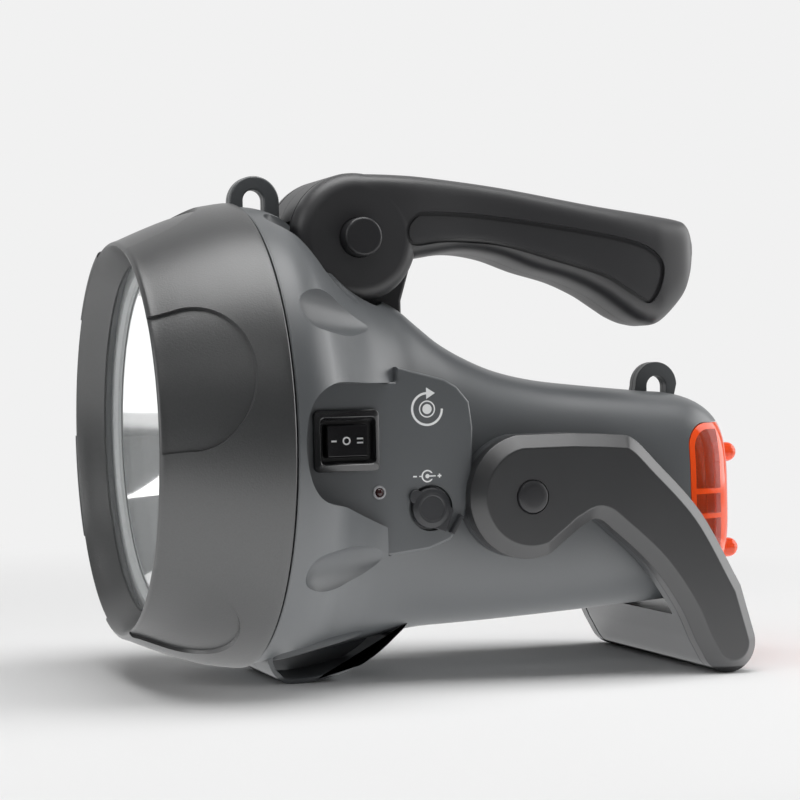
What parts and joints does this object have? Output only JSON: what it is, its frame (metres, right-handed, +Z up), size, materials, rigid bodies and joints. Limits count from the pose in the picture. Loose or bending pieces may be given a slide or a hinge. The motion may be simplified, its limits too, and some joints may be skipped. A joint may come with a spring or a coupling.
{
  "type": "rechargeable hand spotlight",
  "caption": "Rechargeable hand spotlight: round reflector head, turning carry handle, swing stand, rocker switch, covered charging socket and orange tail lamp.",
  "frame": {"origin": "on the table, under the middle of the lamp's box", "axes": "-X the way the lamp shines, +Z up, -Y the side with the rocker switch; the lamp stands on its skid foot and its folded stand"},
  "size_m": [0.2336, 0.1624, 0.1779],
  "materials": {
    "bezel": "fine satin grain, dark grey",
    "housing": "satin, mid grey",
    "handle": "soft near-black coat",
    "handle_trim": "satin, near black",
    "stand_cover": "satin, near black",
    "stand_frame": "satin, dark grey",
    "clear": "clear, polished",
    "gasket": "matte, light grey",
    "mirror": "bright metallised",
    "emitter": "phosphor under a clear dome",
    "board": "lacquered",
    "alloy": "turned",
    "switch": "gloss black",
    "light": "dark, translucent",
    "soft_cover": "matte",
    "cell": "satin",
    "orange": "clear orange, polished",
    "carrier": "satin, brown black",
    "led": "clear red",
    "steel": "plain"
  },
  "bodies": {
    "lamp": {"bezel_ring": "bezel", "front_lens": "clear", "lens_gasket": "gasket", "reflector": "mirror", "lamp_emitter": "emitter", "lamp_board": "board", "heat_sink": "alloy", "housing_left": "housing", "housing_right": "housing", "switch_frame": "switch", "charge_light": "light", "charging_socket": "switch", "cover_anchor": "soft_cover", "control_board": "board", "battery": "cell", "tail_lens": "orange", "tail_lamp_carrier": "carrier", "tail_lamp_board": "board", "tail_led_upper": "led", "tail_led_lower": "led", "handle_bracket": "handle_trim", "handle_axle": "steel", "button_spring": "steel", "stand_axle_left": "steel", "stand_axle_right": "steel"},
    "handle": {"handle_shell_left": "handle", "handle_shell_right": "handle", "handle_cap": "handle_trim"},
    "button": {"handle_button": "handle_trim"},
    "rocker": {"rocker": "switch"},
    "cover": {"socket_cover": "soft_cover"},
    "stand": {"stand_frame": "stand_frame", "stand_cover_left": "stand_cover", "stand_cover_right": "stand_cover", "stand_cap_left": "handle_trim", "stand_cap_right": "handle_trim"}
  },
  "joints": [
    {"name": "handle_turn", "type": "hinge", "parent": "lamp", "child": "handle", "pos_m": [-0.03335, 0, 0.1544], "axis": [0, -1, 0], "range_deg": [0, 74]},
    {"name": "button_press", "type": "slide", "parent": "handle", "child": "button", "axis": [0, 1, 0], "range_m": [0, 0.003], "stiffness_N_per_m": 500, "springref_m": -0.002, "deforming": ["button_spring"]},
    {"name": "rocker_tilt", "type": "hinge", "parent": "lamp", "child": "rocker", "pos_m": [-0.04557, -0.041, 0.08421], "axis": [-0.0225, 0, 0.9997], "range_deg": [-10, 10]},
    {"name": "cover_open", "type": "hinge", "parent": "lamp", "child": "cover", "pos_m": [-0.00715, -0.0451, 0.05585], "axis": [0.5152, 0, 0.8571], "range_deg": [0, 90]},
    {"name": "stand_swing", "type": "hinge", "parent": "lamp", "child": "stand", "pos_m": [0.01939, 0, 0.06446], "axis": [0, 1, 0], "range_deg": [0, 70]}
  ]
}
